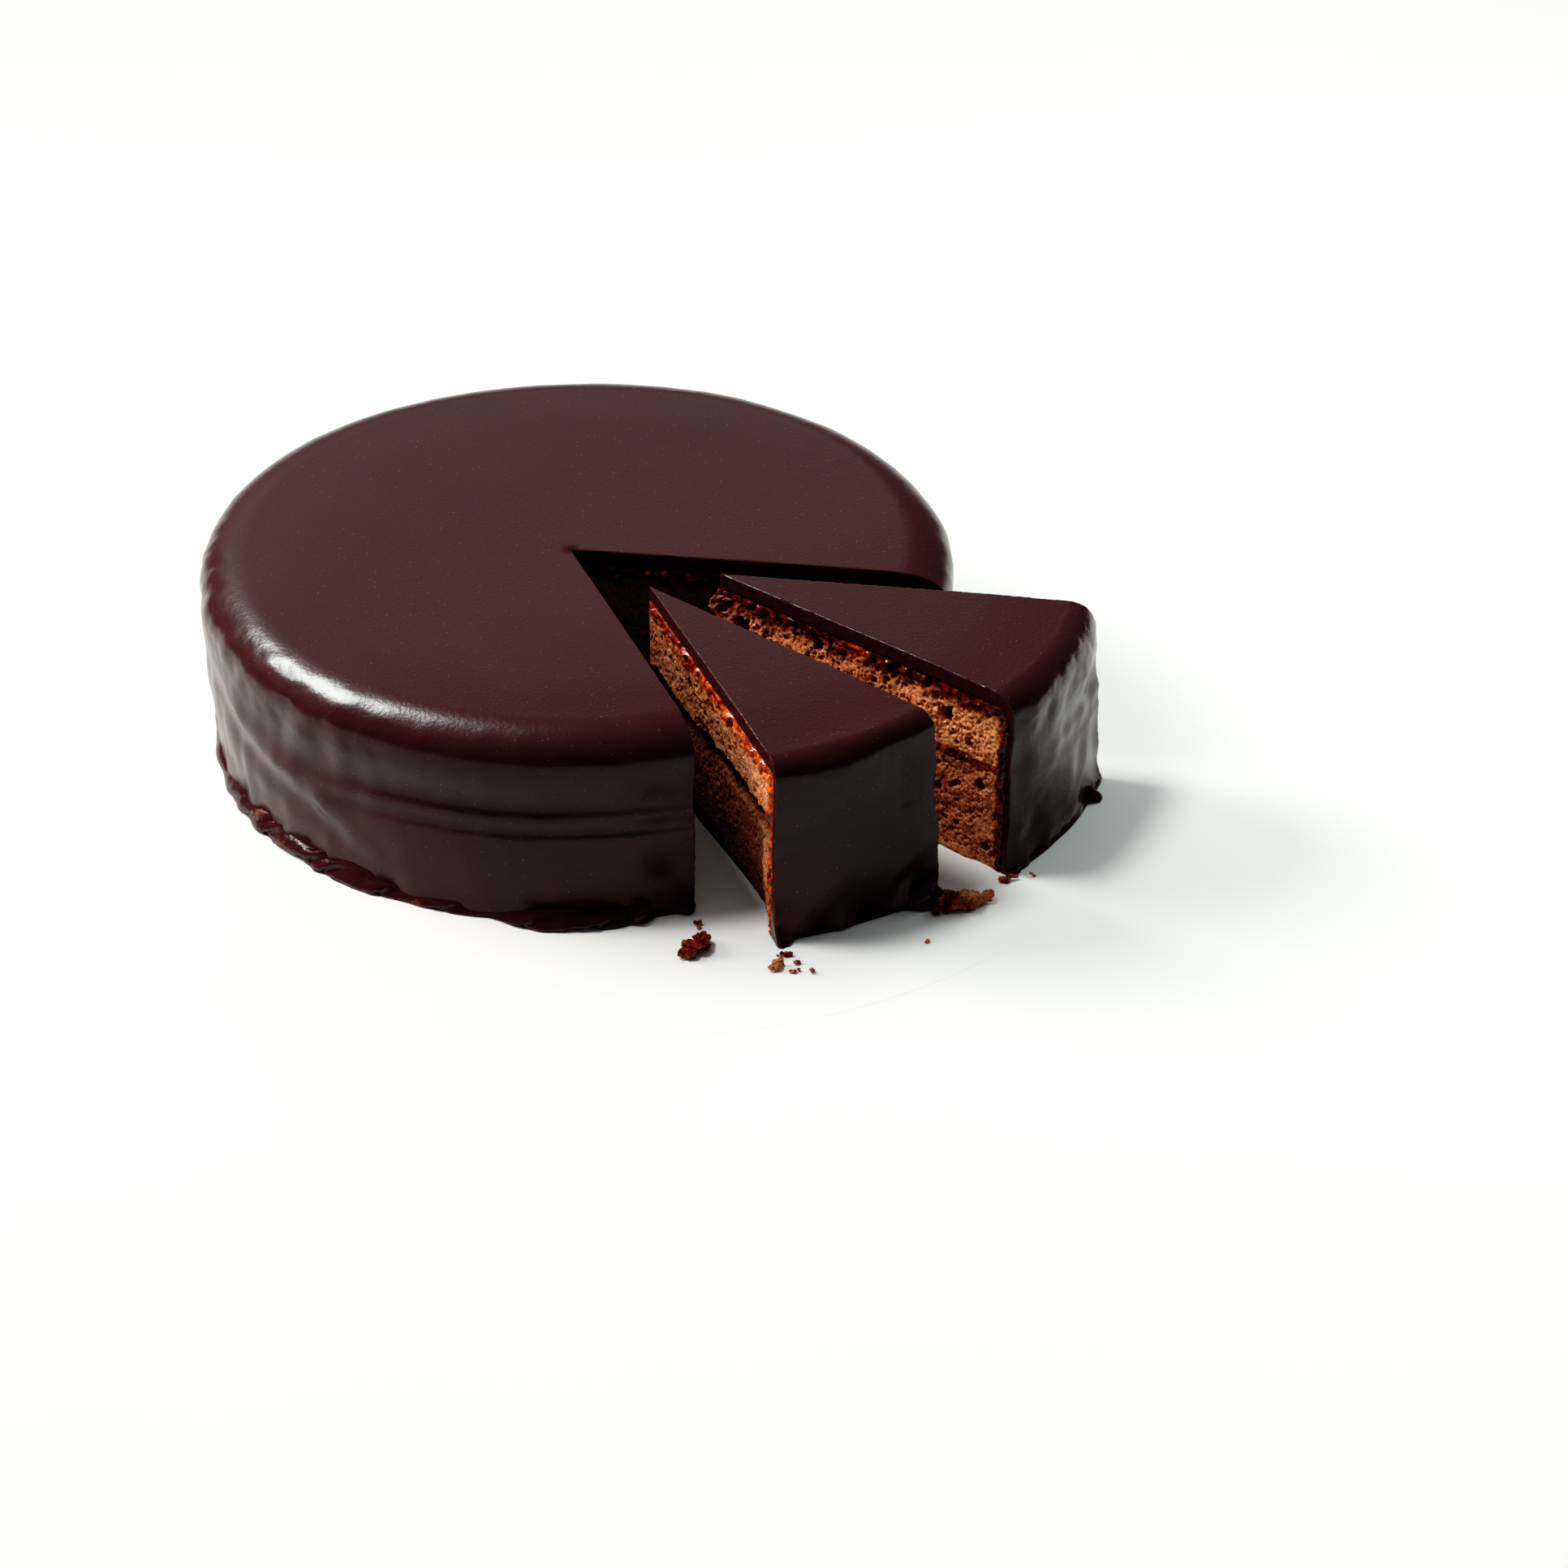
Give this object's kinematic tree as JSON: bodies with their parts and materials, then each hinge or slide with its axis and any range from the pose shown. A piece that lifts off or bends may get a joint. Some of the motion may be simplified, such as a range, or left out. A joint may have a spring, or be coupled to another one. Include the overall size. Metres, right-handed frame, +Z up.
{
  "type": "sachertorte cake",
  "caption": "Round chocolate cake with apricot jam layers under smooth dark icing, cut, with slices drawn part-way out of it.",
  "frame": {"origin": "on the surface it stands on, at the middle of the whole object's box seen from above", "axes": "+Z up; +X to the right as seen from the side the slices are drawn out to, the slices lying towards +X and -Y"},
  "size_m": [0.2614, 0.2334, 0.06],
  "materials": {
    "icing": "satin dark chocolate icing, set smooth, with a soft gloss",
    "jam": "wet, dark red-orange apricot jam, glossy",
    "sponge": "matt, open-crumbed chocolate sponge"
  },
  "bodies": {
    "root": {"cake_sponge_lower": "sponge", "cake_jam_middle": "jam", "cake_sponge_upper": "sponge", "cake_jam_coat": "jam", "cake_icing": "icing", "slice_1_sponge_lower": "sponge", "slice_1_jam_middle": "jam", "slice_1_sponge_upper": "sponge", "slice_1_jam_coat": "jam", "slice_1_icing": "icing", "slice_2_sponge_lower": "sponge", "slice_2_jam_middle": "jam", "slice_2_sponge_upper": "sponge", "slice_2_jam_coat": "jam", "slice_2_icing": "icing"}
  },
  "joints": []
}
